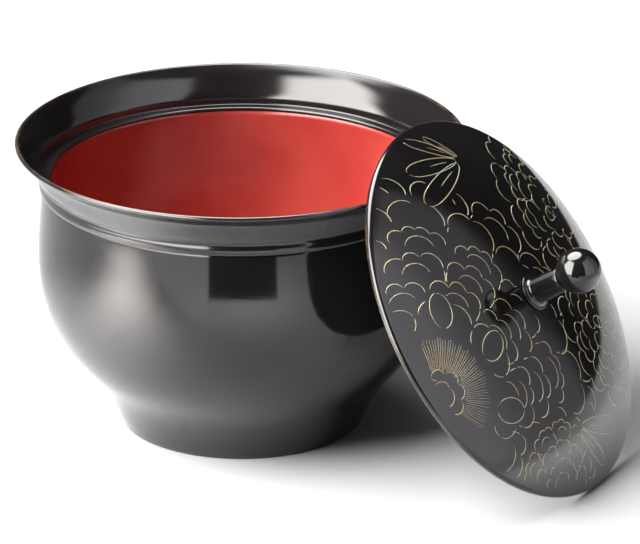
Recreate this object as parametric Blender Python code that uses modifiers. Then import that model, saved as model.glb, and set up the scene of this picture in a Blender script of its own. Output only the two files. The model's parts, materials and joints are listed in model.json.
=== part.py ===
"""A lidded rice bowl: a turned bowl with a flared rim collar, and a domed lid with a ball knob.

The lid leans on the rim with its lower edge on the table. Metres, +Z up. The origin is on the table,
at the middle of the object's footprint, and the lid leans towards +X.
"""

import math

import bmesh
import bpy
import numpy as np

# Bowl
RIM_RADIUS = 0.106
RIM_HEIGHT = 0.1393
LIP_ROUNDING = 0.0009
LEDGE_HEIGHT = 0.122
LEDGE_INNER_RADIUS = 0.0891
LEDGE_OUTER_RADIUS = 0.0939
LEDGE_ROUNDING = 0.0007
SEAM_HEIGHT = 0.1160
SHOULDER_RADIUS = 0.0937
TONGUE_RADIUS = 0.0920
TONGUE_HEIGHT = 0.1200
BEAD_RADIUS = 0.0951
BEAD_HEIGHT = 0.1190
BEAD_TOP = 0.1214
FOOT_RADIUS = 0.0581
FOOT_INNER_RADIUS = 0.0515
FOOT_ROUNDING = 0.0008
FOOT_RECESS = 0.0035
FLOOR_THICKNESS = 0.0110
MOUTH_RADIUS = 0.0904

# Outside of the belly from below the shoulder to the foot: radius, height
BELLY_OUTSIDE = [
    (0.0946, 0.1060),
    (0.0954, 0.0960),
    (0.0959, 0.0820),
    (0.0926, 0.0583),
    (0.0814, 0.0360),
    (0.0700, 0.0223),
    (0.0622, 0.0095),
]
# Inside of the bowl's wall from the middle of its floor to the mouth
BELLY_INSIDE = [
    (0.0300, 0.0152),
    (0.0520, 0.0205),
    (0.0690, 0.0330),
    (0.0830, 0.0520),
    (0.0908, 0.0800),
    (0.0910, 0.1040),
]
# Flare of the rim collar: outside, then inside, both from the base up to the lip
FLARE_OUTSIDE = [(0.0958, 0.1240), (0.0985, 0.1290), (0.1018, 0.1343)]
FLARE_INSIDE = [(0.0947, 0.1256), (0.0972, 0.1304), (0.1010, 0.1357)]

# Lid
LID_RADIUS = 0.0933
LID_RISE = 0.0215
LID_EDGE = 0.0030
LID_WALL = 0.0030
DOME_POWER = 2.9
LID_SEAT_RADIUS = 0.0905
LID_LINING_RADIUS = 0.0875
LID_TILT = math.radians(56.8)

# Knob
BALL_RADIUS = 0.0106
BALL_HEIGHT = 0.0485
NECK_RADIUS = 0.0058
STEM_RADIUS = 0.0062
STEM_FOOT_RADIUS = 0.0088
STEM_FOOT_THICKNESS = 0.0008
STEM_FILLET = 0.0024
TENON_RADIUS = 0.0030
TENON_END = 0.0187

# Shared
GAP = 0.0003
COAT = 0.0006
LARGE_STEPS = 48
SMALL_STEPS = 24
CURVE_POINTS = 2
SCREW_MERGE = 0.00001
TENON_HOLE = TENON_RADIUS + GAP


def clear_scene():
    for obj in list(bpy.data.objects):
        bpy.data.objects.remove(obj, do_unlink=True)


def collection_named(name):
    collection = bpy.data.collections.new(name)
    bpy.context.scene.collection.children.link(collection)
    return collection


def finish_named(name, color, roughness, metallic=0.0):
    material = bpy.data.materials.new(name)
    material.use_nodes = True
    shader = material.node_tree.nodes["Principled BSDF"]
    shader.inputs["Base Color"].default_value = (*color, 1.0)
    shader.inputs["Roughness"].default_value = roughness
    shader.inputs["Metallic"].default_value = metallic
    return material


def smooth_through(points, count):
    """A Catmull-Rom curve through the points, with count points on each stretch."""
    ends = [points[0], *points, points[-1]]
    curve = []
    for before, start, end, after in zip(ends, ends[1:], ends[2:], ends[3:]):
        before, start, end, after = (np.array(p) for p in (before, start, end, after))
        for t in np.arange(count) / count:
            curve.append(
                start
                + 0.5 * t * (end - before)
                + t**2 * (before - 2.5 * start + 2 * end - 0.5 * after)
                + 0.5 * t**3 * (3 * (start - end) + after - before)
            )
    return [*(tuple(p) for p in curve), tuple(points[-1])]


def arc(center, radius, start_degrees, end_degrees, count):
    """Points along an arc in the profile's plane, 0 degrees pointing outwards and 90 up."""
    angles = np.radians(np.linspace(start_degrees, end_degrees, count))
    return [(center[0] + radius * math.cos(a), center[1] + radius * math.sin(a)) for a in angles]


def turned(name, profile, steps, closed, finish, collection, parent=None):
    """The profile of radii and heights turned a full circle about Z."""
    mesh = bpy.data.meshes.new(name)
    edges = [(i, i + 1) for i in range(len(profile) - 1)]
    if closed:
        edges.append((len(profile) - 1, 0))
    mesh.from_pydata([(r, 0, z) for r, z in profile], edges, [])
    mesh.materials.append(finish)
    obj = bpy.data.objects.new(name, mesh)
    collection.objects.link(obj)
    obj.parent = parent
    screw = obj.modifiers.new("turn", "SCREW")
    screw.axis = "Z"
    screw.angle = math.tau
    screw.steps = steps
    screw.render_steps = steps
    screw.use_merge_vertices = True
    screw.merge_threshold = SCREW_MERGE
    screw.use_smooth_shade = True
    return obj


def bowl_body_profile():
    tongue = [(TONGUE_RADIUS, TONGUE_HEIGHT), (TONGUE_RADIUS, SEAM_HEIGHT)]
    foot_edge = (FOOT_RADIUS, FOOT_ROUNDING)
    outside = smooth_through([(SHOULDER_RADIUS, SEAM_HEIGHT), *BELLY_OUTSIDE, foot_edge], CURVE_POINTS)
    foot = [
        (FOOT_RADIUS - FOOT_ROUNDING, 0),
        (FOOT_INNER_RADIUS, 0),
        (FOOT_INNER_RADIUS - FOOT_RECESS / 2, FOOT_RECESS),
        (0, FOOT_RECESS),
    ]
    return [*bowl_inside(), *tongue, *outside, *foot]


def bowl_inside():
    """Inside of the wooden wall from the middle of its floor to the mouth."""
    floor = (0, FOOT_RECESS + FLOOR_THICKNESS)
    return smooth_through([floor, *BELLY_INSIDE, (MOUTH_RADIUS, TONGUE_HEIGHT)], CURVE_POINTS)


def coat_profile(wall, side):
    """A thin coat along a wall that runs out from the axis, above it for side 1 and below it for side -1."""
    points = np.array(wall)
    run = np.gradient(points, axis=0)
    run /= np.linalg.norm(run, axis=1)[:, None]
    above = np.stack([-run[:, 1], run[:, 0]], axis=1)
    above[0] = (0, 1)
    near = points + side * GAP * above
    far = points + side * (GAP + COAT) * above
    upper, lower = (far, near) if side > 0 else (near, far)
    return [*(tuple(p) for p in upper), *(tuple(p) for p in lower[::-1])]


def rim_collar_profile():
    lip_center = (RIM_RADIUS - LIP_ROUNDING, RIM_HEIGHT - LIP_ROUNDING)
    lip = arc(lip_center, LIP_ROUNDING, 135, -50, 7)
    base = TONGUE_HEIGHT + GAP
    skirt = SEAM_HEIGHT + GAP
    outside = smooth_through([lip[-1], *FLARE_OUTSIDE[::-1], (BEAD_RADIUS - 0.0004, BEAD_TOP)], CURVE_POINTS)
    bead = [(BEAD_RADIUS, BEAD_HEIGHT), (BEAD_RADIUS - 0.0005, skirt + 0.0007), (SHOULDER_RADIUS + GAP, skirt)]
    rabbet = [(TONGUE_RADIUS + GAP, skirt), (TONGUE_RADIUS + GAP, base)]
    underside = [*bead, *rabbet, (LEDGE_INNER_RADIUS + LEDGE_ROUNDING, base)]
    ledge_center = (LEDGE_INNER_RADIUS + LEDGE_ROUNDING, LEDGE_HEIGHT - LEDGE_ROUNDING)
    ledge = arc(ledge_center, LEDGE_ROUNDING, 180, 90, 4)
    inside = smooth_through([(LEDGE_OUTER_RADIUS, LEDGE_HEIGHT), *FLARE_INSIDE, lip[0]], CURVE_POINTS)
    return [*lip, *outside[1:], *underside, *ledge, *inside[:-1]]


def dome(radii, rim_radius, rise, foot):
    """Height of a dome that is flat on top and falls faster towards its rim."""
    return foot + rise * (1 - (radii / rim_radius) ** DOME_POWER)


def lid_outside():
    radii = LID_RADIUS * np.sin(np.linspace(math.asin(TENON_HOLE / LID_RADIUS), math.radians(80), 14))
    crown = list(zip(radii, dome(radii, LID_RADIUS, LID_RISE - LID_EDGE, LID_EDGE)))
    edge = [
        (LID_RADIUS - 0.0001, LID_EDGE - 0.0004),
        (LID_RADIUS, LID_EDGE / 2),
        (LID_RADIUS - 0.0004, 0.0004),
        (LID_RADIUS - 0.0012, 0),
    ]
    return [*crown, *edge]


def lid_inside(from_radius, to_radius, count):
    """Underside of the wooden lid."""
    turn = np.linspace(math.asin(from_radius / to_radius), math.radians(90), count)
    radii = to_radius * np.sin(turn)
    return list(zip(radii, dome(radii, LID_SEAT_RADIUS, LID_RISE - LID_WALL, 0)))


def lid_plate_profile():
    return [*lid_outside(), *lid_inside(TENON_HOLE, LID_SEAT_RADIUS, 12)[::-1]]


def lid_lining_profile():
    return coat_profile(lid_inside(0, LID_LINING_RADIUS, 13), -1)


def knob_stem_profile():
    foot = LID_RISE + GAP
    angles = np.linspace(0, math.asin(NECK_RADIUS / (BALL_RADIUS + GAP)), 5)
    seat_radius = BALL_RADIUS + GAP
    seat = [(seat_radius * math.sin(a), BALL_HEIGHT - seat_radius * math.cos(a)) for a in angles]
    fillet_center = (STEM_RADIUS + STEM_FILLET, foot + STEM_FOOT_THICKNESS + STEM_FILLET)
    fillet = arc(fillet_center, STEM_FILLET, 180, 270, 5)
    foot_disc = [
        (STEM_FOOT_RADIUS, foot + STEM_FOOT_THICKNESS),
        (STEM_FOOT_RADIUS, foot),
        (TENON_RADIUS, foot),
        (TENON_RADIUS, TENON_END),
        (0, TENON_END),
    ]
    return [*seat, *fillet, *foot_disc]


def lean_clearance(distance, height):
    """Least room from the lip's rounding to the face of the coat under the lid, all the way along the lip.

    The distance is from the bowl's axis to the middle of the lid's edge circle, and the height is that
    middle's. It is less than zero where the lip would be inside the lid.
    """
    turn = np.radians(np.linspace(-70, 70, 281))
    x = (RIM_RADIUS - LIP_ROUNDING) * np.cos(turn) - distance
    y = (RIM_RADIUS - LIP_ROUNDING) * np.sin(turn)
    z = RIM_HEIGHT - LIP_ROUNDING - height
    up_the_lid = -x * math.cos(LID_TILT) + z * math.sin(LID_TILT)
    out_of_the_lid = x * math.sin(LID_TILT) + z * math.cos(LID_TILT)
    from_middle = np.hypot(up_the_lid, y)
    profile = lid_lining_profile()
    face = np.array(profile[len(profile) // 2 :][::-1])
    radii = np.linspace(0, LID_LINING_RADIUS, 400)
    heights = np.interp(radii, face[:, 0], face[:, 1])
    room = np.hypot(from_middle[:, None] - radii, out_of_the_lid[:, None] - heights).min(axis=1)
    under = out_of_the_lid < np.interp(from_middle, radii, heights)
    beside = from_middle > LID_RADIUS
    return np.where(under | beside, room, -room).min() - LIP_ROUNDING


def lean():
    """Distance and height of the middle of the lid's edge circle, with the lid on the table and the lip."""
    height = max(r * math.sin(LID_TILT) - z * math.cos(LID_TILT) for r, z in lid_outside())
    too_near, clear = RIM_RADIUS, 2 * RIM_RADIUS
    for _ in range(40):
        middle = (too_near + clear) / 2
        if lean_clearance(middle, height) < GAP:
            too_near = middle
        else:
            clear = middle
    return clear, height


# Places, worked out from the dimensions
LID_DISTANCE, LID_CENTER_HEIGHT = lean()
FAR_EDGE = LID_DISTANCE + max(
    *(r * math.cos(LID_TILT) + z * math.sin(LID_TILT) for r, z in lid_outside()),
    BALL_HEIGHT * math.sin(LID_TILT) + BALL_RADIUS,
)
BOWL_X = (RIM_RADIUS - FAR_EDGE) / 2
BALL_AT_REST = (
    BOWL_X + LID_DISTANCE + BALL_HEIGHT * math.sin(LID_TILT),
    LID_CENTER_HEIGHT + BALL_HEIGHT * math.cos(LID_TILT),
)
BALL_CLOSED = (BOWL_X, LEDGE_HEIGHT + GAP + BALL_HEIGHT)
REACH_X = BALL_AT_REST[0] - BALL_CLOSED[0]
REACH_Z = BALL_AT_REST[1] - BALL_CLOSED[1]
# The hand's arc starts at the leaning ball and comes straight down on the closed one
CARRY_RADIUS = (REACH_X**2 + REACH_Z**2) / (2 * REACH_X)
CARRY_PIVOT = (BOWL_X + CARRY_RADIUS, BALL_CLOSED[1])


def empty_at(name, location, collection, parent=None):
    empty = bpy.data.objects.new(name, None)
    empty.location = location
    empty.parent = parent
    collection.objects.link(empty)
    return empty


def ball(name, radius, finish, collection, parent):
    shape = bmesh.new()
    bmesh.ops.create_uvsphere(shape, u_segments=SMALL_STEPS, v_segments=SMALL_STEPS // 2, radius=radius)
    mesh = bpy.data.meshes.new(name)
    shape.to_mesh(mesh)
    shape.free()
    mesh.shade_smooth()
    mesh.materials.append(finish)
    obj = bpy.data.objects.new(name, mesh)
    collection.objects.link(obj)
    obj.parent = parent
    return obj


def main():
    clear_scene()
    parts = collection_named("rice_bowl")
    black = finish_named("black_lacquer", (0.008, 0.007, 0.007), 0.12)
    red = finish_named("red_lacquer", (0.56, 0.022, 0.018), 0.25)

    bowl_axis = empty_at("bowl_axis", (BOWL_X, 0, 0), parts)
    turned("bowl_body", bowl_body_profile(), LARGE_STEPS, False, black, parts, bowl_axis)
    turned("bowl_lining", coat_profile(bowl_inside(), 1), LARGE_STEPS, False, red, parts, bowl_axis)
    turned("rim_collar", rim_collar_profile(), LARGE_STEPS, True, black, parts, bowl_axis)

    carry_pivot = empty_at("carry_pivot", (CARRY_PIVOT[0], 0, CARRY_PIVOT[1]), parts)
    from_carry = (BALL_AT_REST[0] - CARRY_PIVOT[0], 0, BALL_AT_REST[1] - CARRY_PIVOT[1])
    lid_pivot = empty_at("lid_pivot", from_carry, parts, carry_pivot)
    lid_pivot.rotation_euler = (0, LID_TILT, 0)
    ball("knob_ball", BALL_RADIUS, black, parts, lid_pivot)
    lid_parts = [
        turned("lid_plate", lid_plate_profile(), LARGE_STEPS, True, black, parts, lid_pivot),
        turned("lid_lining", lid_lining_profile(), LARGE_STEPS, False, black, parts, lid_pivot),
        turned("knob_stem", knob_stem_profile(), SMALL_STEPS, False, black, parts, lid_pivot),
    ]
    for obj in lid_parts:
        obj.location = (0, 0, -BALL_HEIGHT)


main()
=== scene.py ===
import json
import math

import bpy
import mathutils
import numpy as np
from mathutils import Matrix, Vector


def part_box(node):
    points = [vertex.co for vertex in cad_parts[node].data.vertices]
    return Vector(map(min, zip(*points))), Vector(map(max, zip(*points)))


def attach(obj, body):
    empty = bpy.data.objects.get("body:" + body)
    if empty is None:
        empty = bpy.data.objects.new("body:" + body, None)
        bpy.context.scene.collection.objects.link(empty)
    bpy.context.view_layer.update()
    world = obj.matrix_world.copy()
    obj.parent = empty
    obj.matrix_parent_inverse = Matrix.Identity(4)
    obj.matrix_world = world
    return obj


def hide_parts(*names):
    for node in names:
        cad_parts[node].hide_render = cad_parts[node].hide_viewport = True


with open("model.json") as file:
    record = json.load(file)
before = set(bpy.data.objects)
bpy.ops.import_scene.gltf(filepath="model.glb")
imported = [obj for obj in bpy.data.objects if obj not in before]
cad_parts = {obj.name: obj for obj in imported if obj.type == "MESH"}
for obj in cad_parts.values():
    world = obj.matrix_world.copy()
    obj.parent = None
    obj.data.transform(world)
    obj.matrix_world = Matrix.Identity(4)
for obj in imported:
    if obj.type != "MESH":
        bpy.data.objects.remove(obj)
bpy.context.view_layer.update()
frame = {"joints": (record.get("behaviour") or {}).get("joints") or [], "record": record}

print("frame loaded")


def smoothThrough(points, count, startRun=None, endRun=None):
    # Cubic spline through the points against the length between them, so that a gloss shows no kink.
    # The second derivatives solve one tridiagonal system; an end is free, or follows the run given for it.
    points = np.asarray(points, float)
    gaps = np.linalg.norm(np.diff(points, axis=0), axis=1)
    slopes = np.diff(points, axis=0) / gaps[:, None]
    size = len(points)
    matrix, right = np.eye(size), np.zeros((size, 2))
    inner = np.arange(1, size - 1)
    matrix[inner, inner - 1] = gaps[:-1]
    matrix[inner, inner] = 2 * (gaps[:-1] + gaps[1:])
    matrix[inner, inner + 1] = gaps[1:]
    right[inner] = 6 * (slopes[1:] - slopes[:-1])
    if startRun is not None:
        matrix[0, :2] = (2 * gaps[0], gaps[0])
        right[0] = 6 * (slopes[0] - np.asarray(startRun))
    if endRun is not None:
        matrix[-1, -2:] = (gaps[-1], 2 * gaps[-1])
        right[-1] = 6 * (np.asarray(endRun) - slopes[-1])
    bend = np.linalg.solve(matrix, right)
    at = np.concatenate([[0], np.cumsum(gaps)])
    along = np.linspace(0, at[-1], count)
    k = np.clip(np.searchsorted(at, along, side="right") - 1, 0, size - 2)
    t, gap = (along - at[k])[:, None], gaps[k][:, None]
    lift = slopes[k] - gap * (2 * bend[k] + bend[k + 1]) / 6
    return points[k] + lift * t + bend[k] * t**2 / 2 + (bend[k + 1] - bend[k]) * t**3 / (6 * gap)


def arcOf(center, radius, start, end, count):
    # points on a circle in the profile's plane, 0 degrees pointing outwards and 90 up
    # a pair of radii, across and up, gives an ellipse
    turn = np.radians(np.linspace(start, end, count))
    wide, tall = radius if isinstance(radius, tuple) else (radius, radius)
    return np.stack([center[0] + wide * np.cos(turn), center[1] + tall * np.sin(turn)], axis=1)


def clockwiseRun(degrees):
    # direction in which an arc leaves this angle when it is followed clockwise
    return (math.sin(math.radians(degrees)), -math.cos(math.radians(degrees)))


def joined(*parts):
    # pieces of profile end to end, without a point that repeats the one before it
    points = np.concatenate([np.asarray(part, float).reshape(-1, 2) for part in parts])
    apart = np.linalg.norm(np.diff(points, axis=0), axis=1) > 1e-6
    return points[np.concatenate([[True], apart])]


def coatOn(wall, side, gap, thickness):
    # thin coat along a wall that runs out from the axis: both faces are the wall moved along its normal
    run = np.gradient(wall, axis=0)
    run /= np.linalg.norm(run, axis=1)[:, None]
    above = np.stack([-run[:, 1], run[:, 0]], axis=1)
    if wall[0][0] == 0:
        above[0] = (0, 1)
    near, far = wall + side * gap * above, wall + side * (gap + thickness) * above
    upper, lower = (far, near) if side > 0 else (near, far)
    tip = (upper[-1] + lower[-1]) / 2 + run[-1] * thickness / 3  # rounds the coat's open edge
    return np.concatenate([upper, [tip], lower[::-1]])


def meshPiece(name, points, faces, finish):
    mesh = bpy.data.meshes.new(name)
    mesh.from_pydata(points.tolist(), [], faces)
    mesh.polygons.foreach_set("use_smooth", np.ones(len(mesh.polygons), bool))
    mesh.materials.append(finish)
    mesh.update()
    piece = bpy.data.objects.new(name, mesh)
    bpy.context.scene.collection.objects.link(piece)
    return piece


def turned(name, profile, steps, place, finish):
    # Each profile point (radius, height) goes once round the axis:
    # x = radius cos turn, y = radius sin turn, z = height.
    # A profile that starts and ends on the axis closes in two poles.
    # Any other one is a ring that closes on itself.
    profile = np.asarray(profile, float)
    poles = profile[0, 0] < 1e-7 and profile[-1, 0] < 1e-7
    rows = profile[1:-1] if poles else profile
    count = len(rows)
    turn = np.arange(steps) * math.tau / steps
    radius, height = rows[:, 0, None], rows[:, 1, None]
    grid = np.stack([radius * np.cos(turn), radius * np.sin(turn), height + 0 * turn], axis=2)
    points = grid.reshape(-1, 3)
    row = np.arange(count - 1 if poles else count)[:, None]
    here, there, below = np.arange(steps), (np.arange(steps) + 1) % steps, (row + 1) % count
    corners = [row * steps + here, below * steps + here, below * steps + there, row * steps + there]
    faces = np.stack(corners, axis=2).reshape(-1, 4).tolist()
    if poles:
        top, last = len(points), (count - 1) * steps
        points = np.concatenate([points, [(0, 0, profile[0, 1]), (0, 0, profile[-1, 1])]])
        faces += np.stack([np.full(steps, top), here, there], axis=1).tolist()
        faces += np.stack([last + here, np.full(steps, top + 1), last + there], axis=1).tolist()
    return meshPiece(name, place(points), faces, finish)


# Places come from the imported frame: the bowl's axis from its box, the lid's lean from its joints
bowlLow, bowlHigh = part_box("bowl_body")
bowlX = (bowlLow.x + bowlHigh.x) / 2
joints = {joint["name"]: joint for joint in frame["joints"]}
follow = frame["record"]["behaviour"]["couplings"][0]["ratio"]
lidTilt = math.radians(joints["lid_carry"]["range_deg"][1] * (1 + follow))
ballAtRest = np.array(joints["lid_level"]["pos_m"])
ballHeight = 0.0485  # the ball's middle over the plane of the lid's edge


def onBowl(points):
    return points + np.array([bowlX, 0, 0])


def onLid(points):
    # from the lid's own frame, edge plane at 0 and axis up, to the leaning lid
    # it is one turn about the Y axis through the middle of the ball
    x, y, z = points[:, 0], points[:, 1], points[:, 2] - ballHeight
    turnedX = x * math.cos(lidTilt) + z * math.sin(lidTilt)
    turnedZ = -x * math.sin(lidTilt) + z * math.cos(lidTilt)
    return np.stack([turnedX, y, turnedZ], axis=1) + ballAtRest


class Wire:
    # wraps a shader socket, so that sums and products of values add their Math nodes
    def __init__(self, tree, socket=None):
        self.tree, self.socket = tree, socket

    def node(self, kind, settings, sockets, out=0):
        made = self.tree.nodes.new(kind)
        for name, value in settings.items():
            setattr(made, name, value)
        for key, value in sockets.items():
            if isinstance(value, Wire):
                self.tree.links.new(value.socket, made.inputs[key])
            else:
                made.inputs[key].default_value = value
        return None if out is None else Wire(self.tree, made.outputs[out])

    def math(self, operation, first, second):
        return self.node("ShaderNodeMath", {"operation": operation}, {0: first, 1: second})

    def __add__(self, other):
        return self.math("ADD", self, other)

    def __radd__(self, other):
        return self.math("ADD", other, self)

    def __sub__(self, other):
        return self.math("SUBTRACT", self, other)

    def __rsub__(self, other):
        return self.math("SUBTRACT", other, self)

    def __mul__(self, other):
        return self.math("MULTIPLY", self, other)

    def __rmul__(self, other):
        return self.math("MULTIPLY", other, self)

    def between(self, low, high):
        # 0 at low and beyond it, 1 at high and beyond it, with a soft step between them
        settings = {"interpolation_type": "SMOOTHSTEP"}
        return self.node("ShaderNodeMapRange", settings, {0: self, 1: low, 2: high, 3: 0.0, 4: 1.0})

    def noise(self, scale, detail):
        return self.node("ShaderNodeTexNoise", {}, {"Vector": self, "Scale": scale, "Detail": detail})


def axisFrame(start, axis):
    # the piece's own frame, with its turning axis up the middle, the distance from that axis and the height
    place = {"Location": axis["at"], "Rotation": (0, axis["lean"], 0)}
    settings = {"vector_type": "TEXTURE"}
    where = start.node("ShaderNodeTexCoord", {}, {}, 3)
    local = start.node("ShaderNodeMapping", settings, {"Vector": where, **place})
    height = start.node("ShaderNodeSeparateXYZ", {}, {0: local}, 2)
    flat = start.node("ShaderNodeVectorMath", {"operation": "MULTIPLY"}, {0: local, 1: (1, 1, 0)})
    radius = start.node("ShaderNodeVectorMath", {"operation": "LENGTH"}, {0: flat}, 1)
    return local, radius, height


def newMaterial(name):
    material = bpy.data.materials.new(name)
    material.use_nodes = True
    return material, Wire(material.node_tree), material.node_tree.nodes["Principled BSDF"]


def wire(shader, tree, links, values):
    for name, value in values.items():
        shader.inputs[name].default_value = value
    for name, link in links.items():
        tree.links.new(link.socket, shader.inputs[name])


def mixed(start, factor, first, second):
    settings = {"data_type": "RGBA"}
    first = (*first, 1.0) if isinstance(first, tuple) else first
    return start.node("ShaderNodeMix", settings, {0: factor, 6: first, 7: (*second, 1.0)}, 2)


blackLook = {
    "deep": (0.0060, 0.0052, 0.0054),
    "clouded": (0.0098, 0.0086, 0.0084),
    "thin": (0.105, 0.074, 0.044),  # worn lacquer, where the priming shows through along an edge
    "dust": (0.12, 0.12, 0.12),
    "dustStrength": 0.5,
    "ior": 1.52,
    "rough": 0.055,
    "cloudRough": 0.03,
    "polishRough": 0.03,
    "wornRough": 0.12,
    "cloudScale": 22.0,
    "polishScale": 1500.0,
    "peelScale": 420.0,
    "dustScale": 900.0,
    "wornScale": 60.0,
    "peelDepth": 0.000012,
    "peelShare": 0.8,
}


def polishRings(start, radius, height, scale):
    # fine rings left by polishing on the lathe: a noise that is the same all the way round the axis
    return start.node("ShaderNodeCombineXYZ", {}, {0: radius, 1: height, 2: 0.0}).noise(scale, 2.0)


def finishCoat(material, start, shader, look, color, rough, relief):
    # what both lacquers end in: colour, roughness and a slight unevenness of the surface
    sockets = {"Strength": 1.0, "Distance": look["peelDepth"], "Height": relief}
    links = {"Base Color": color, "Roughness": rough, "Normal": start.node("ShaderNodeBump", {}, sockets)}
    wire(shader, material.node_tree, links, {"IOR": look["ior"]})
    return material


def blackLacquer(name, axis, wear=None, rougher=0.0):
    # Clouded black coat with faint polishing rings, a slight unevenness and rare specks of dust.
    # wear gives two heights in the piece's own frame, where the coat is sound and where it is worn,
    # and how far it is worn.
    material, start, shader = newMaterial(name)
    local, radius, height = axisFrame(start, axis)
    cloud = local.noise(blackLook["cloudScale"], 3.0).between(0.35, 0.7)
    polish = polishRings(start, radius, height, blackLook["polishScale"])
    peel = local.noise(blackLook["peelScale"], 2.0)
    dust = local.noise(blackLook["dustScale"], 1.0).between(0.80, 0.83)
    color = mixed(start, cloud, blackLook["deep"], blackLook["clouded"])
    color = mixed(start, dust * blackLook["dustStrength"], color, blackLook["dust"])
    rough = cloud * blackLook["cloudRough"] + polish * blackLook["polishRough"]
    rough = rough + (blackLook["rough"] + rougher)
    if wear:
        sound, worn, strength = wear
        edge = height.between(sound, worn) * local.noise(blackLook["wornScale"], 4.0).between(0.30, 0.62)
        color = mixed(start, edge * strength, color, blackLook["thin"])
        rough = rough + edge * blackLook["wornRough"]
    relief = peel * blackLook["peelShare"] + polish * (1 - blackLook["peelShare"])
    return finishCoat(material, start, shader, blackLook, color, rough, relief)


redLook = {
    "deep": (0.25, 0.020, 0.018),
    "bright": (0.33, 0.044, 0.034),
    "speck": (0.24, 0.010, 0.010),
    "speckStrength": 0.4,
    "ior": 1.50,
    "rough": 0.19,
    "cloudRough": 0.05,
    "polishRough": 0.05,
    "cloudScale": 16.0,
    "polishScale": 900.0,
    "peelScale": 300.0,
    "speckScale": 700.0,
    "peelDepth": 0.00002,
    "peelShare": 0.6,
}


def redLacquer(name, axis):
    # vermilion coat: slightly uneven in strength, satin, with polishing rings that only its gloss shows
    material, start, shader = newMaterial(name)
    local, radius, height = axisFrame(start, axis)
    cloud = local.noise(redLook["cloudScale"], 4.0).between(0.3, 0.72)
    polish = polishRings(start, radius, height, redLook["polishScale"])
    peel = local.noise(redLook["peelScale"], 3.0)
    speck = local.noise(redLook["speckScale"], 1.0).between(0.76, 0.80)
    color = mixed(start, cloud, redLook["deep"], redLook["bright"])
    color = mixed(start, speck * redLook["speckStrength"], color, redLook["speck"])
    rough = redLook["rough"] + cloud * redLook["cloudRough"] + polish * redLook["polishRough"]
    relief = peel * redLook["peelShare"] + polish * (1 - redLook["peelShare"])
    return finishCoat(material, start, shader, redLook, color, rough, relief)


bowlAxis = {"at": (bowlX, 0, 0), "lean": 0.0}
lidAxis = {"at": tuple(onLid(np.zeros((1, 3)))[0]), "lean": lidTilt}
roundSteps = 256  # faces round the bowl and the lid
knobSteps = 96

bowlSize = {
    "floorTop": 0.0145,
    "inside": [
        (0.0300, 0.0152), (0.0520, 0.0205), (0.0690, 0.0330),
        (0.0830, 0.0520), (0.0908, 0.0800), (0.0910, 0.1040),
    ],
    "mouth": (0.0904, 0.1200),
    "tongue": 0.0920,
    "shoulder": (0.0937, 0.1160),
    "shoulderRounding": 0.00015,
    "belly": [
        (0.0946, 0.1060), (0.0954, 0.0960), (0.0959, 0.0820), (0.0926, 0.0583),
        (0.0814, 0.0360), (0.0700, 0.0223), (0.0622, 0.0095),
    ],
    "bellyStart": 6,  # degrees on the shoulder's rounding where the belly leaves it
    "bellyEnd": -25,  # degrees on the foot's rounding where the belly meets it
    "footRadius": 0.0581,
    "footInner": 0.0515,
    "footRounding": 0.0008,
    "recess": 0.0035,
    "recessRings": (0.040, 0.030, 0.020, 0.010, 0.0),
    "gap": 0.0003,
    "coat": 0.0006,
}


def bowlWall(size):
    return smoothThrough([(0, size["floorTop"]), *size["inside"], size["mouth"]], 72, startRun=(1, 0))


def bowlProfile(size):
    # inside of the wall, a tongue inside the collar, the shoulder, the belly down to the foot,
    # then the foot ring and the recess under it
    toeRounding, foot = size["footRounding"], size["footRadius"]
    (edge, seam), small = size["shoulder"], size["shoulderRounding"]
    leaves, meets = size["bellyStart"], size["bellyEnd"]
    tongue = [(size["tongue"], size["mouth"][1]), (size["tongue"], seam)]
    corner = arcOf((edge - small, seam - small), small, 90, leaves, 5)
    toe = arcOf((foot - toeRounding, toeRounding), toeRounding, meets, -90, 6)
    belly = [corner[-1], *size["belly"], toe[0]]
    outside = smoothThrough(belly, 96, clockwiseRun(leaves), clockwiseRun(meets))
    heel = arcOf((size["footInner"] + toeRounding, toeRounding), toeRounding, -90, -180, 6)
    ceiling = (size["footInner"] - size["recess"] / 2, size["recess"])
    cove = smoothThrough([heel[-1], ceiling], 6, startRun=(0, 1), endRun=(-1, 0))
    rings = [(radius, size["recess"]) for radius in size["recessRings"]]
    return joined(bowlWall(size), tongue, corner, outside, toe, heel, cove, rings)


blackBowl = blackLacquer("blackBowlLacquer", bowlAxis, wear=(0.0022, 0.0002, 0.5))
bowlShell = turned("bowlShell", bowlProfile(bowlSize), roundSteps, onBowl, blackBowl)
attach(bowlShell, "bowl")
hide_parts("bowl_body")

redBowl = redLacquer("redBowlLacquer", bowlAxis)
liningProfile = coatOn(bowlWall(bowlSize), 1, bowlSize["gap"], bowlSize["coat"])
liningShell = turned("liningShell", liningProfile, roundSteps, onBowl, redBowl)
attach(liningShell, "bowl")
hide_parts("bowl_lining")
print("bowl turned")

collarSize = {
    "lipAt": (0.1049, 0.1382),
    "lipRounding": 0.0011,
    "lipTurn": (135, -50),  # degrees on the lip's rounding, from the inside of the flare to its outside
    "outside": [(0.1018, 0.1343), (0.0985, 0.1290), (0.0960, 0.1243)],
    "beadTop": (0.0948, 0.1217),
    "bead": (0.0951, 0.1194),
    "beadFoot": (0.0949, 0.1174),
    "skirt": 0.1163,
    "skirtEdge": 0.0944,
    "skirtInner": 0.0923,
    "base": 0.1203,
    "ledgeHeight": 0.1220,
    "ledgeInner": 0.0891,
    "ledgeRounding": 0.0007,
    "ledgeOuter": 0.0936,
    "cove": 0.0006,
    "inside": [(0.0947, 0.1256), (0.0972, 0.1304), (0.1010, 0.1357)],
}


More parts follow.
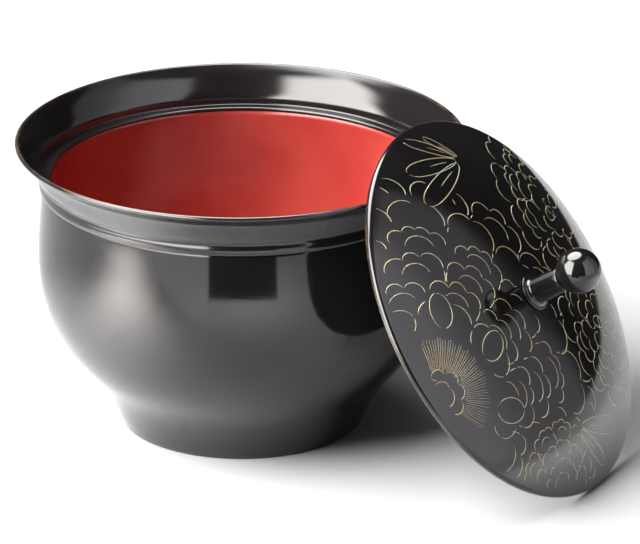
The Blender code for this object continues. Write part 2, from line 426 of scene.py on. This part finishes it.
def collarProfile(size):
    # lip, outside of the flare, low bead, stepped joint over the tongue,
    # then the rounded ledge, a small cove and the inside of the flare
    base, cove = size["base"], size["cove"]
    lipInside, lipOutside = size["lipTurn"]
    lip = arcOf(size["lipAt"], size["lipRounding"], lipInside, lipOutside, 18)
    beadPoints = [size["beadTop"], size["bead"], size["beadFoot"], (size["skirtEdge"], size["skirt"])]
    outside = smoothThrough([lip[-1], *size["outside"], *beadPoints], 84, clockwiseRun(lipOutside))
    step = [(size["skirtInner"], size["skirt"]), (size["skirtInner"], base)]
    noseTall = (size["ledgeHeight"] - base) / 2
    noseAt = (size["ledgeInner"] + size["ledgeRounding"], base + noseTall)
    nose = arcOf(noseAt, (size["ledgeRounding"], noseTall), 270, 90, 14)
    turnUp = arcOf((size["ledgeOuter"], size["ledgeHeight"] + cove), cove, -90, -8, 7)
    upward = (0.14, 0.99)  # the way in which the flare's inside leaves the cove
    inside = smoothThrough([turnUp[-1], *size["inside"], lip[0]], 48, upward, clockwiseRun(lipInside))
    return joined(lip, outside, step, nose, turnUp, inside)[:-1]


blackRim = blackLacquer("blackRimLacquer", bowlAxis, wear=(0.1385, 0.1393, 0.3), rougher=0.05)
collarRing = turned("collarRing", collarProfile(collarSize), roundSteps, onBowl, blackRim)
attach(collarRing, "bowl")
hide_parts("rim_collar")
print("rim collar turned")

lidSize = {
    "radius": 0.0933,
    "rise": 0.0215,
    "edge": 0.0030,
    "wall": 0.0030,
    "power": 2.9,
    "seatRadius": 0.0905,
    "liningRadius": 0.0875,
    "hole": 0.0033,
    "crownEnd": 79,  # degrees: the crown is spaced by the sine of an angle and gives way to the rim here
    "rim": [(0.0932, 0.0026), (0.0933, 0.0015)],
    "rimFoot": 0.0921,
    "rimFootRounding": (0.0008, 0.0006),
    "rimFootTurn": -10,
    "gap": 0.0003,
    "coat": 0.0006,
}


def domeHeight(radii):
    # The dome is flat on top and falls faster towards its edge.
    # Its height over the edge is the rise times one less a power of the distance from the middle.
    fall = (radii / lidSize["radius"]) ** lidSize["power"]
    return lidSize["edge"] + (lidSize["rise"] - lidSize["edge"]) * (1 - fall)


def underDome(fromRadius, toRadius, count):
    # underside of the dome, of the same form but lower and narrower, down to its flat seat at height 0
    turn = np.linspace(math.asin(fromRadius / toRadius), math.pi / 2, count)
    radii = toRadius * np.sin(turn)
    heights = (lidSize["rise"] - lidSize["wall"]) * (1 - (radii / lidSize["seatRadius"]) ** lidSize["power"])
    return np.stack([radii, heights], axis=1)


def lidProfile(size):
    # crown from the hole for the knob out to the rim, rounded rim, flat seat, underside back to the hole
    turn = np.linspace(math.asin(size["hole"] / size["radius"]), math.radians(size["crownEnd"]), 64)
    radii = size["radius"] * np.sin(turn)
    crown = np.stack([radii, domeHeight(radii)], axis=1)
    fall = crown[-1] - crown[-2]
    footTurn, rounding = size["rimFootTurn"], size["rimFootRounding"]
    foot = arcOf((size["rimFoot"], rounding[1]), rounding, footTurn, -90, 6)
    rimPoints = [crown[-1], *size["rim"], foot[0]]
    rim = smoothThrough(rimPoints, 20, fall / np.linalg.norm(fall), clockwiseRun(footTurn))
    return joined(crown, rim, foot, underDome(size["hole"], size["seatRadius"], 48)[::-1])


blackLid = blackLacquer("blackLidLacquer", lidAxis, wear=(0.0024, 0.0008, 0.55))
lidDome = turned("lidDome", lidProfile(lidSize), roundSteps, onLid, blackLid)
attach(lidDome, "lid")
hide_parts("lid_plate")

blackCoat = blackLacquer("blackCoatLacquer", lidAxis, rougher=0.03)
coatProfile = coatOn(underDome(0.0, lidSize["liningRadius"], 56), -1, lidSize["gap"], lidSize["coat"])
lidCoat = turned("lidCoat", coatProfile, roundSteps, onLid, blackCoat)
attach(lidCoat, "lid")
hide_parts("lid_lining")
print("lid turned")

knobSize = {
    "ball": 0.0106,
    "gap": 0.0003,
    "lipRounding": 0.0003,
    "neck": 0.0058,
    "stem": 0.0062,
    "foot": 0.0218,
    "footRadius": 0.0088,
    "footThickness": 0.0008,
    "footRounding": 0.0004,
    "tenon": 0.0030,
    "tenonEnd": 0.0187,
}


def neckProfile(size):
    # cupped seat under the ball, slim neck, fillet out to a small round foot, tenon down into the lid
    seat = size["ball"] + size["gap"]
    turn = np.linspace(0, math.asin((size["neck"] - size["lipRounding"]) / seat), 12)
    cup = np.stack([seat * np.sin(turn), ballHeight - seat * np.cos(turn)], axis=1)
    lip = arcOf((cup[-1][0], cup[-1][1] - size["lipRounding"]), size["lipRounding"], 80, 0, 5)
    small = size["footRounding"]
    fillet = size["footRadius"] - small - size["stem"]
    top = size["foot"] + size["footThickness"]
    curve = arcOf((size["stem"] + fillet, top + fillet), fillet, 180, 270, 12)
    shaft = smoothThrough([lip[-1], curve[0]], 10)
    disc = arcOf((size["footRadius"] - small, size["foot"] + small), small, 90, -90, 9)
    tenon = [(size["tenon"], size["foot"]), (size["tenon"], size["tenonEnd"]), (0, size["tenonEnd"])]
    return joined(cup, lip, shaft, curve, disc, tenon)


blackKnob = blackLacquer("blackKnobLacquer", lidAxis, rougher=-0.03)
knobNeck = turned("knobNeck", neckProfile(knobSize), knobSteps, onLid, blackKnob)
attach(knobNeck, "lid")
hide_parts("knob_stem")

ballTurn = np.radians(np.linspace(90, -90, 49))
ballProfile = np.stack([np.cos(ballTurn), np.sin(ballTurn)], axis=1) * knobSize["ball"]
ballProfile[[0, -1], 0] = 0  # the poles lie on the axis
knobSphere = turned("knobSphere", ballProfile + (0, ballHeight), knobSteps, onLid, blackKnob)
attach(knobSphere, "grip")
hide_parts("knob_ball")
print("knob turned")


# The lid's decoration: flowers in rows of scalloped petals, a fan of fine stamens and slim leaves,
# cut as thin inlaid strokes. A place is (up, side) in metres from the lid's middle, seen from outside:
# up is away from the table and side is to the right.
strokeSize = {
    "points": 13,
    "samples": 60,
    "shortest": 0.0022,
    "proud": 0.00006,
    "sunk": 0.00010,
    "edgeSunk": 0.2,  # how far down the edges lie, as a share of the depth of the keel
    "startWidth": 0.45,  # share of its full width that a stroke has at its start
    "startRun": 0.10,  # share of its length in which the start would widen from nothing to the full width
    "endWidth": 0.22,
    "endRun": 0.45,
    "petalWidth": 0.00046,
    "stamenWidth": 0.00017,
    "leafWidth": 0.00050,
    "reach": 0.0905,  # nothing is cut further out than this
    "knobClear": 0.0118,
}
rng = np.random.default_rng(12)


def bowAt(first, last, bow, share, skew=0.0):
    # Half an ellipse from first to last. Seen from outside it bulges to the right of the way between them,
    # by bow times the length of that way.
    # share runs from 0 to 1 along it, and skew moves the fullest place towards the end.
    first, last = np.asarray(first), np.asarray(last)
    turn = math.pi * share
    forward = (1 - np.cos(turn)) / 2 + skew * np.sin(turn) ** 2
    way = last - first
    aside = np.array([-way[1], way[0]])
    return first + forward[:, None] * way + (bow * np.sin(turn))[:, None] * aside


class Strokes:
    # gathers curves, keeps the longest part of each that no other motif covers, and makes them one mesh
    def __init__(self):
        self.paths, self.widths = [], []

    def add(self, curve, width, covers=(), trim=(0.06, 0.94)):
        share = np.linspace(*trim, strokeSize["samples"])
        points = curve(share)
        free = np.hypot(*points.T) < strokeSize["reach"]
        free &= np.hypot(*points.T) > strokeSize["knobClear"]
        for hidden in covers:
            free &= ~hidden(points)
        edges = np.flatnonzero(np.diff(np.concatenate([[0], free.astype(int), [0]])))
        if len(edges) == 0:
            return
        starts, ends = edges[::2], edges[1::2] - 1
        best = np.argmax(ends - starts)
        start, end = share[starts[best]], share[ends[best]]
        path = curve(np.linspace(start, end, strokeSize["points"]))
        if np.linalg.norm(np.diff(path, axis=0), axis=1).sum() >= strokeSize["shortest"]:
            self.paths.append(path)
            self.widths.append(width)

    def build(self, name, finish):
        # Each stroke is a slim closed bar on the dome: left edge, crest, right edge and keel
        # at every point of its path. It starts blunt like the cut of a graver and runs out to a point.
        flat = np.array(self.paths)
        count, size = flat.shape[:2]
        share = np.linspace(0, 1, size)
        swell = np.minimum(1, share / strokeSize["startRun"] + strokeSize["startWidth"])
        swell = swell * np.minimum(1, (1 - share) / strokeSize["endRun"] + strokeSize["endWidth"])
        half = np.array(self.widths)[:, None] * swell / 2
        x, y = -flat[..., 0], flat[..., 1]
        radius = np.hypot(x, y)
        slope = -(lidSize["rise"] - lidSize["edge"]) * lidSize["power"] / lidSize["radius"]
        slope = slope * (radius / lidSize["radius"]) ** (lidSize["power"] - 1)
        points = np.stack([x, y, domeHeight(radius)], axis=-1)
        normal = np.stack([-slope * x / radius, -slope * y / radius, np.ones_like(x)], axis=-1)
        normal /= np.linalg.norm(normal, axis=-1, keepdims=True)
        run = np.gradient(points, axis=1)
        side = np.cross(normal, run)
        side /= np.linalg.norm(side, axis=-1, keepdims=True)
        over = side * half[..., None]
        crest, keel = normal * strokeSize["proud"], normal * strokeSize["sunk"]
        left, right = (points + way - keel * strokeSize["edgeSunk"] for way in (over, -over))
        bars = np.stack([left, points + crest, right, points - keel], axis=2)
        first = (np.arange(count)[:, None] * size + np.arange(size - 1)) * 4
        corner = np.arange(4)
        here, there = first[..., None] + corner, first[..., None] + (corner + 1) % 4
        quads = np.stack([here, there, there + 4, here + 4], axis=-1).reshape(-1, 4)
        start = (np.arange(count) * size * 4)[:, None]
        caps = np.concatenate([start + corner[::-1], start + (size - 1) * 4 + corner])
        faces = np.concatenate([quads, caps]).tolist()
        return meshPiece(name, onLid(bars.reshape(-1, 3)), faces, finish)


def polar(center, radius, degrees):
    # a point this far from a flower's middle: 0 degrees to the side, 90 up the lid
    turn = math.radians(degrees)
    return np.array([center[0] + radius * math.sin(turn), center[1] + radius * math.cos(turn)])


petalShape = {
    "bulge": 0.085,  # share of the radius by which its corners are nearer to the flower's middle than its tip
    "uneven": 0.02,
    "drift": 0.07,
    "bow": (0.36, 0.50),
    "widths": (0.85, 1.15),
    "sideChance": 0.7,
    "sideRoot": (0.74, 0.80),
    "sideLean": 0.10,
    "sideBow": 0.16,
    "innerHalf": 0.27,
    "innerBow": 0.42,
    "fineWidth": 0.9,
}


def petal(strokes, center, radius, degrees, spread, lobes, covers, width, inner=0.0):
    # A petal seen as its scalloped outer edge: lobes bows between points on a bulged arc,
    # and mostly a side stroke at each end. inner adds a smaller edge at that share of the radius.
    shape, fine = petalShape, width * petalShape["fineWidth"]
    place = np.linspace(-1, 1, lobes + 1)
    uneven = 1 + rng.uniform(-shape["uneven"], shape["uneven"], lobes + 1)
    radii = radius * (1 - shape["bulge"] * place**2) * uneven
    turns = degrees + spread / 2 * (place + rng.uniform(-shape["drift"], shape["drift"], lobes + 1))
    tips = [polar(center, r, t) for r, t in zip(radii, turns)]
    for first, last in zip(tips, tips[1:]):
        bow = rng.uniform(*shape["bow"])
        lobeWidth = width * rng.uniform(*shape["widths"])
        strokes.add(lambda share: bowAt(first, last, bow, share), lobeWidth, covers)
    for tip, turn, hand in ((tips[0], turns[0], 1), (tips[-1], turns[-1], -1)):
        if rng.random() < shape["sideChance"]:
            rootRadius = radius * rng.uniform(*shape["sideRoot"])
            root = polar(center, rootRadius, turn + hand * spread * shape["sideLean"])
            bow = shape["sideBow"] * hand
            strokes.add(lambda share: bowAt(root, tip, bow, share), fine, covers)
    if inner:
        half = shape["innerHalf"]
        first, last = (polar(center, radius * inner, degrees + spread * part) for part in (-half, half))
        strokes.add(lambda share: bowAt(first, last, shape["innerBow"], share), fine, covers)


def loopPetal(strokes, center, loops, degrees, covers, width):
    # a small petal seen whole: two bows that nearly meet, one out from near the middle and a flatter one back
    root = polar(center, loops["from"], degrees - 3)
    tip = polar(center, loops["from"] + loops["length"], degrees + 2)
    strokes.add(lambda share: bowAt(root, tip, loops["bow"], share), width, covers, (0.03, 0.99))
    strokes.add(lambda share: bowAt(tip, root, loops["bow"] * 0.9, share), width, covers, (0.02, 0.90))


# rows: how far out, how many petals, how many lobes, and the share of the radius for a second edge
# eye: how far out and how many lobes; reach: how far the flower hides the motifs that are cut after it
flowers = [
    {
        "at": (0.0262, 0.0600),
        "reach": 0.043,
        "turns": (0, 360),
        "eye": [(0.0052, 3)],
        "loops": {"from": 0.0016, "length": 0.0100, "bow": 0.34, "turns": (15, 195)},
        "rows": [(0.0150, 5, 2, 0), (0.0230, 7, 2, 0), (0.0315, 8, 3, 0.86), (0.0405, 9, 2, 0)],
    },
    {
        "at": (-0.0330, 0.0470),
        "reach": 0.038,
        "turns": (0, 360),
        "eye": [(0.0050, 3)],
        "loops": {"from": 0.0016, "length": 0.0090, "bow": 0.34, "turns": (150, 330)},
        "rows": [(0.0140, 5, 2, 0), (0.0215, 7, 2, 0), (0.0300, 8, 3, 0.85), (0.0365, 8, 2, 0)],
    },
    {
        "at": (-0.0830, -0.0330),
        "reach": 0.030,
        "turns": (-30, 210),
        "eye": [(0.0050, 3)],
        "loops": None,
        "rows": [(0.0110, 5, 2, 0), (0.0185, 6, 2, 0), (0.0275, 7, 3, 0.84)],
    },
    {
        "at": (-0.0155, -0.0872),
        "reach": 0.120,
        "turns": (-78, 98),
        "eye": [(0.0108, 4), (0.0062, 2)],
        "loops": {"from": 0.0320, "length": 0.0165, "bow": 0.36, "turns": (56, 10, -34)},
        "rows": [
            (0.0415, 4, 2, 0), (0.0530, 5, 3, 0.86), (0.0655, 6, 3, 0.88),
            (0.0790, 7, 4, 0.90), (0.0925, 9, 2, 0), (0.106, 9, 3, 0.93),
        ],
    },
]
flowerShape = {
    "eyeSpread": 150,
    "eyeWidth": 0.85,
    "rowStart": (0.95, 0.5),  # the first petal's place, in steps, in rows 0, 2 and 4 and in rows 1, 3 and 5
    "rowDrift": 0.05,
    "petalSpread": 0.90,
    "hides": 1.035,  # how far out a row hides the next one, as a share of its radius
}
stamens = {
    "from": 0.0125,
    "fromDrift": (0.95, 1.12),
    "to": 0.0272,
    "toDrift": (0.96, 1.03),
    "turns": (-58, 80),
    "turnDrift": 0.6,
    "count": 46,
    "bow": 0.01,
}
leaves = [
    {
        "at": (0.0690, 0.0138),
        "slim": 0.115,
        "blades": [(137, 0.031), (168, 0.040), (190, 0.046), (118, 0.020)],
    },
    {
        "at": (-0.0630, -0.0130),
        "slim": 0.12,
        "blades": [(-18, 0.040), (-52, 0.030)],
    },
]
leafShape = {
    "stalk": 0.12,
    "skew": 0.12,
    "rib": (0.30, 0.62),
    "ribBow": 0.2,
    "ribWidth": 0.7,
    "zoneWidth": 1.2,  # the zone that a leaf hides is this much wider than the leaf
    "zoneSkew": 1.3,
    "zoneMargin": 0.02,
    "zoneEnd": 1.03,
}


def near(center, reach):
    return lambda points: np.hypot(points[:, 0] - center[0], points[:, 1] - center[1]) < reach


def bladeZone(base, degrees, length, slim):
    # the long lens that a leaf covers, a little wider than the leaf and fullest past its middle
    way = (polar(base, length, degrees) - np.asarray(base)) / length

    def covered(points):
        along = (points - base) @ way / length
        off = np.abs((points - base) @ np.array([-way[1], way[0]])) / length
        swell = np.sin(math.pi * np.clip(along, 0, 1) ** leafShape["zoneSkew"])
        lens = slim * leafShape["zoneWidth"] * swell + leafShape["zoneMargin"]
        return (along > 0) & (along < leafShape["zoneEnd"]) & (off < lens)
    return covered


def cutLeaf(strokes, base, degrees, length, slim):
    # two long bows from the stalk to the tip, a short rib between them
    width, skew = strokeSize["leafWidth"], leafShape["skew"]
    base, tip = np.asarray(base), polar(base, length, degrees)
    start = base + (tip - base) * leafShape["stalk"]
    ribStart, ribEnd = (base + (tip - base) * share for share in leafShape["rib"])
    ribBow = slim * leafShape["ribBow"]
    strokes.add(lambda share: bowAt(start, tip, slim, share, skew), width, trim=(0.0, 0.985))
    strokes.add(lambda share: bowAt(start, tip, -slim, share, skew), width, trim=(0.03, 0.90))
    strokes.add(lambda share: bowAt(ribStart, ribEnd, ribBow, share), width * leafShape["ribWidth"])


def cutFlower(strokes, flower, taken):
    # the eye, the small whole petals, then the rows outwards, each partly hidden by the one inside it
    at, width, loops = flower["at"], strokeSize["petalWidth"], flower["loops"]
    start, end = flower["turns"]
    for radius, lobes in flower["eye"]:
        spread, eyeWidth = min(end - start, flowerShape["eyeSpread"]), width * flowerShape["eyeWidth"]
        petal(strokes, at, radius, (start + end) / 2, spread, lobes, taken, eyeWidth)
    if loops:
        for turn in loops["turns"]:
            loopPetal(strokes, at, loops, turn, taken, width)
        if end - start < 360:
            middles = [polar(at, loops["from"] + loops["length"] / 2, turn) for turn in loops["turns"]]
            taken.extend(near(middle, loops["length"] / 2) for middle in middles)
    covered = []
    for number, (radius, count, lobes, inner) in enumerate(flower["rows"]):
        step = (end - start) / count
        for index in range(count):
            turn = start + (index + flowerShape["rowStart"][number % 2]) * step
            turn += rng.uniform(-flowerShape["rowDrift"], flowerShape["rowDrift"]) * step
            spread = step * flowerShape["petalSpread"]
            petal(strokes, at, radius, turn, spread, lobes, taken + covered, width, inner)
        covered = [near(at, radius * flowerShape["hides"])]
    taken.append(near(at, flower["reach"]))


def cutStamens(strokes, center):
    # a fan of fine lines of uneven length
    for turn in np.linspace(*stamens["turns"], stamens["count"]):
        length = stamens["to"] * rng.uniform(*stamens["toDrift"])
        root = polar(center, stamens["from"] * rng.uniform(*stamens["fromDrift"]), turn)
        tip = polar(center, length, turn + rng.uniform(-stamens["turnDrift"], stamens["turnDrift"]))
        strokes.add(lambda share: bowAt(root, tip, stamens["bow"], share), strokeSize["stamenWidth"])


engraving = {"petalStrokes": Strokes(), "stamenStrokes": Strokes(), "leafStrokes": Strokes()}
taken = []  # tests for the places that are cut already
for leaf in leaves:
    for degrees, length in leaf["blades"]:
        cutLeaf(engraving["leafStrokes"], leaf["at"], degrees, length, leaf["slim"])
        taken.append(bladeZone(leaf["at"], degrees, length, leaf["slim"]))
for flower in flowers:
    cutFlower(engraving["petalStrokes"], flower, taken)
cutStamens(engraving["stamenStrokes"], flowers[-1]["at"])


goldLook = {
    "pale": (0.42, 0.40, 0.26),
    "warm": (0.44, 0.34, 0.18),
    "green": (0.31, 0.39, 0.29),
    "hollow": (0.16, 0.14, 0.09),  # between the grains
    "hollowStrength": 0.45,
    "rough": 0.42,
    "grainRough": 0.25,
    "driftScale": 70.0,
    "grainScale": 5200.0,
    "grainDepth": 0.00003,
}


def goldInlay(name):
    # gold powder in the cut lines: pale gold that drifts to warm and to greenish, with a fine grain
    material, start, shader = newMaterial(name)
    where = start.node("ShaderNodeTexCoord", {}, {}, 3)
    drift = where.noise(goldLook["driftScale"], 1.0)
    grain = where.noise(goldLook["grainScale"], 2.0)
    color = mixed(start, drift.between(0.52, 0.68), goldLook["pale"], goldLook["warm"])
    color = mixed(start, 1 - drift.between(0.34, 0.47), color, goldLook["green"])
    hollows = grain.between(0.45, 0.75) * goldLook["hollowStrength"]
    color = mixed(start, hollows, color, goldLook["hollow"])
    rough = grain * goldLook["grainRough"] + goldLook["rough"]
    sockets = {"Strength": 0.6, "Distance": goldLook["grainDepth"], "Height": grain}
    links = {"Base Color": color, "Roughness": rough, "Normal": start.node("ShaderNodeBump", {}, sockets)}
    wire(shader, material.node_tree, links, {"Metallic": 1.0})
    return material


goldFinish = goldInlay("goldInlay")
for name, strokes in engraving.items():
    cut = strokes.build(name, goldFinish)
    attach(cut, "lid")
    print(name, len(strokes.paths))


floorLook = {
    "radius": 6.0,
    "corners": 96,
    "darker": (0.415, 0.418, 0.428),
    "lighter": (0.430, 0.434, 0.442),
}


def paleFloor():
    material, start, shader = newMaterial("paleFloor")
    where = start.node("ShaderNodeTexCoord", {}, {}, 3)
    tone = where.noise(3.0, 2.0).between(0.3, 0.7)
    color = mixed(start, tone, floorLook["darker"], floorLook["lighter"])
    wire(shader, material.node_tree, {"Base Color": color}, {"Roughness": 0.6, "Specular IOR Level": 0.2})
    return material


floorTurn = np.arange(floorLook["corners"]) * math.tau / floorLook["corners"]
floorEdge = np.stack([np.cos(floorTurn), np.sin(floorTurn), 0 * floorTurn], axis=1) * floorLook["radius"]
floor = meshPiece("floor", floorEdge, [list(range(floorLook["corners"]))], paleFloor())

world = bpy.data.worlds.new("softRoom")
bpy.context.scene.world = world
world.use_nodes = True
sky = world.node_tree.nodes["Background"].inputs
sky["Color"].default_value = (0.96, 0.98, 1.0, 1.0)
sky["Strength"].default_value = 0.10
bpy.context.scene.view_settings.view_transform = "Standard"

stageMiddle = (0, 0, 0.08)


def around(azimuth, elevation, distance, middle=stageMiddle):
    # points seen from the middle at these azimuths, 0 in front and 90 on the right,
    # and at these heights above the horizon
    a, e = np.radians(azimuth), np.radians(elevation)
    step = np.stack([np.sin(a) * np.cos(e), -np.cos(a) * np.cos(e), np.sin(e) + 0 * a], axis=-1)
    return np.array(middle) + np.asarray(distance)[..., None] * step


def softWindow(values, low, high, soft):
    # 1 between low and high and 0 outside, with a smooth step this soft at both ends
    rise = np.clip((values - low) / soft + 0.5, 0, 1)
    fall = np.clip((high - values) / soft + 0.5, 0, 1)
    return (rise**2 * (3 - 2 * rise)) * (fall**2 * (3 - 2 * fall))


def glowSheet(name, points, wide, glow, clear=False):
    # A sheet whose light is only seen in the gloss of the object: one colour for each of its points.
    # A clear one adds its light to what is behind it.
    row, column = np.divmod(np.arange((len(points) // wide - 1) * (wide - 1)), wide - 1)
    first = row * wide + column
    faces = np.stack([first, first + 1, first + wide + 1, first + wide], axis=1).tolist()
    material = bpy.data.materials.new(name)
    material.use_nodes = True
    tree = material.node_tree
    tree.nodes.clear()
    start = Wire(tree)
    seen = start.node("ShaderNodeAttribute", {"attribute_name": "glow"}, {}, 0)
    light = start.node("ShaderNodeEmission", {}, {"Color": seen, "Strength": 1.0})
    if clear:
        behind = start.node("ShaderNodeBsdfTransparent", {}, {})
        light = start.node("ShaderNodeAddShader", {}, {0: light, 1: behind})
    start.node("ShaderNodeOutputMaterial", {}, {"Surface": light}, None)
    material.cycles.emission_sampling = "NONE"
    sheet = meshPiece(name, points, faces, material)
    colors = sheet.data.attributes.new("glow", "FLOAT_COLOR", "POINT")
    colors.data.foreach_set("color", np.column_stack([glow, np.ones(len(glow))]).astype(np.float32).ravel())
    sheet.visible_camera = sheet.visible_diffuse = sheet.visible_shadow = False
    sheet.visible_transmission = sheet.visible_volume_scatter = False
    return sheet


# What the gloss sees of the studio: azimuths and elevations in degrees, and how bright each thing is
studio = {
    "distance": 1.3,
    "dark": (0.03, 0.03, 0.034),
    "softbox": {
        "across": (-62, -6),
        "up": (-2, 58),
        "soft": 12,
        "slant": 18,  # degrees that its right edge leans out at the horizon
        "slantTop": 50,  # and the elevation where it doesn't lean
        "color": (17.0, 16.6, 16.2),
    },
    "overhead": {"toward": (-115, 70), "reach": 26, "soft": 8, "color": (16.0, 16.0, 16.0)},
    "panel": {
        "across": (62, 143),
        "up": (-6, 58),
        "soft": 5,
        "color": (1.0, 0.98, 1.05),
        "fade": ((60, 2.6), (80, 2.2), (92, 1.9), (100, 1.9), (118, 0.9), (130, 0.66), (142, 0.5)),
    },
    "leftWall": {"across": (-125, -62), "up": (-6, 50), "soft": 40, "color": (0.12, 0.12, 0.13)},
}


def studioGlow(azimuth, elevation):
    # colour of each point of the walls: the panels laid over the dark room one after the other
    glow = np.ones((len(azimuth), 3)) * studio["dark"]
    for name in ("panel", "leftWall", "softbox"):
        part, straight = studio[name], azimuth
        if "slant" in part:
            rightHalf = azimuth > sum(part["across"]) / 2
            straight = azimuth - rightHalf * part["slant"] * (1 - elevation / part["slantTop"])
        inside = softWindow(straight, *part["across"], part["soft"])
        inside = inside * softWindow(elevation, *part["up"], part["soft"])
        shine = np.interp(azimuth, *zip(*part["fade"])) if "fade" in part else 1.0
        glow = glow * (1 - inside[:, None]) + (inside * shine)[:, None] * part["color"]
    part = studio["overhead"]
    away = around(azimuth, elevation, 1.0 + 0 * azimuth, (0, 0, 0))
    angle = np.degrees(np.arccos(np.clip(away @ around(*part["toward"], 1.0, (0, 0, 0)), -1, 1)))
    over = softWindow(angle, -90, part["reach"], part["soft"])[:, None]
    return glow * (1 - over) + over * part["color"]


def gridOf(across, up):
    # every pair of the two runs of numbers, row by row from the lowest: one array of each
    upGrid, acrossGrid = np.meshgrid(up, across, indexing="ij")
    return acrossGrid.ravel(), upGrid.ravel()


wallColumns, wallRows = 241, 81
azimuths, elevations = gridOf(np.linspace(-180, 180, wallColumns), np.linspace(-5, 90, wallRows))
wallPoints = around(azimuths, elevations, studio["distance"] + 0 * azimuths)
glowSheet("studioWalls", wallPoints, wallColumns, studioGlow(azimuths, elevations))

# painted dark reflection in front, where the table ends: a dim standing sheet that only the gloss sees
gap = {"across": (12, 46), "distance": 0.47, "heights": (0.0005, 0.6), "columns": 25, "rows": 9, "glow": 0.02}
gapAcross = np.linspace(*gap["across"], gap["columns"])
azimuths, heights = gridOf(gapAcross, np.linspace(*gap["heights"], gap["rows"]))
gapPoints = around(azimuths, 0 * azimuths, gap["distance"] + 0 * azimuths, (bowlX, 0, 0))
gapPoints[:, 2] = heights
glowSheet("paintedDarkReflection", gapPoints, gap["columns"], np.ones((len(gapPoints), 3)) * gap["glow"])

# painted pools of light on the table, glowing clear sheets that only the gloss sees: the softbox's pool, a
# wash to its left, and fill in front and on the right
poolSize = {"columns": 33, "lowest": 0.0006, "apart": 0.0003}
pools = {
    "lightPool": {"at": (-0.262, -0.352), "radii": (0.17, 0.36), "turn": -35, "color": (8.4, 8.0, 7.6)},
    "lightWash": {"at": (-0.190, -0.165), "radii": (0.24, 0.27), "turn": -35, "color": (2.0, 2.0, 2.05)},
    "lightRight": {"at": (0.300, 0.090), "radii": (0.23, 0.23), "turn": 0, "color": (1.6, 1.6, 1.65)},
    "lightFront": {"at": (0.200, -0.380), "radii": (0.34, 0.34), "turn": 0, "color": (1.6, 1.6, 1.75)},
}
poolRun = np.linspace(-1, 1, poolSize["columns"])
sideGrid, awayGrid = gridOf(poolRun, poolRun)
fade = np.clip(1 - np.hypot(sideGrid, awayGrid), 0, 1)
softFade = fade**2 * (3 - 2 * fade)
for number, (name, pool) in enumerate(pools.items()):
    side, away = pool["radii"][0] * sideGrid, pool["radii"][1] * awayGrid
    cosine, sine = math.cos(math.radians(pool["turn"])), math.sin(math.radians(pool["turn"]))
    height = poolSize["lowest"] + poolSize["apart"] * number
    x, y = pool["at"][0] + side * cosine + away * sine, pool["at"][1] + side * sine - away * cosine
    poolPoints = np.stack([x, y, height + 0 * x], axis=1)
    glowSheet(name, poolPoints, poolSize["columns"], softFade[:, None] * pool["color"], True)


def aimed(obj, at, target):
    # stands at a point and looks down its own -Z at the target
    obj.location = at
    obj.rotation_euler = (mathutils.Vector(target) - mathutils.Vector(at)).to_track_quat("-Z", "Y").to_euler()
    return obj


def softSun(name, azimuth, elevation, spread, strength, color):
    # light from one side of the sky, as wide as a large softbox and the same all over the floor
    # the gloss doesn't see it
    lamp = bpy.data.lights.new(name, "SUN")
    lamp.angle = math.radians(spread)
    lamp.energy = strength
    lamp.color = color
    light = bpy.data.objects.new(name, lamp)
    bpy.context.scene.collection.objects.link(light)
    light.visible_glossy = False
    return aimed(light, around(azimuth, elevation, 2.0), stageMiddle)


softSun("keySoftbox", azimuth=-46, elevation=42, spread=56, strength=13.0, color=(1.0, 0.985, 0.965))
softSun("overheadSoftbox", azimuth=-20, elevation=80, spread=50, strength=0.3, color=(0.95, 0.975, 1.0))

# pale backdrop that only the camera sees, for low views
back = {"distance": 5.9, "columns": 49, "rows": 25, "lowest": -30, "color": (0.93, 0.94, 0.95)}
backUp = np.linspace(back["lowest"], 90, back["rows"])
azimuths, elevations = gridOf(np.linspace(-180, 180, back["columns"]), backUp)
backPoints = around(azimuths, elevations, back["distance"] + 0 * azimuths)
backdrop = glowSheet("backdrop", backPoints, back["columns"], np.ones((len(backPoints), 3)) * back["color"])
backdrop.visible_camera, backdrop.visible_glossy = True, False

view = {
    "azimuth": 27.596,
    "elevation": 21.519,
    "distance": 2.6546,
    "aim": (0.00064, 0.0, 0.07912),
    "lens": 318.0,
    "sensor": 36.0,
    "clip": (0.1, 50.0),
}
camera = bpy.data.objects.new("camera", bpy.data.cameras.new("camera"))
bpy.context.scene.collection.objects.link(camera)
camera.data.lens = view["lens"]
camera.data.sensor_width = view["sensor"]
camera.data.clip_start, camera.data.clip_end = view["clip"]
aimed(camera, around(view["azimuth"], view["elevation"], view["distance"], view["aim"]), view["aim"])
bpy.context.scene.camera = camera
print("stage set")
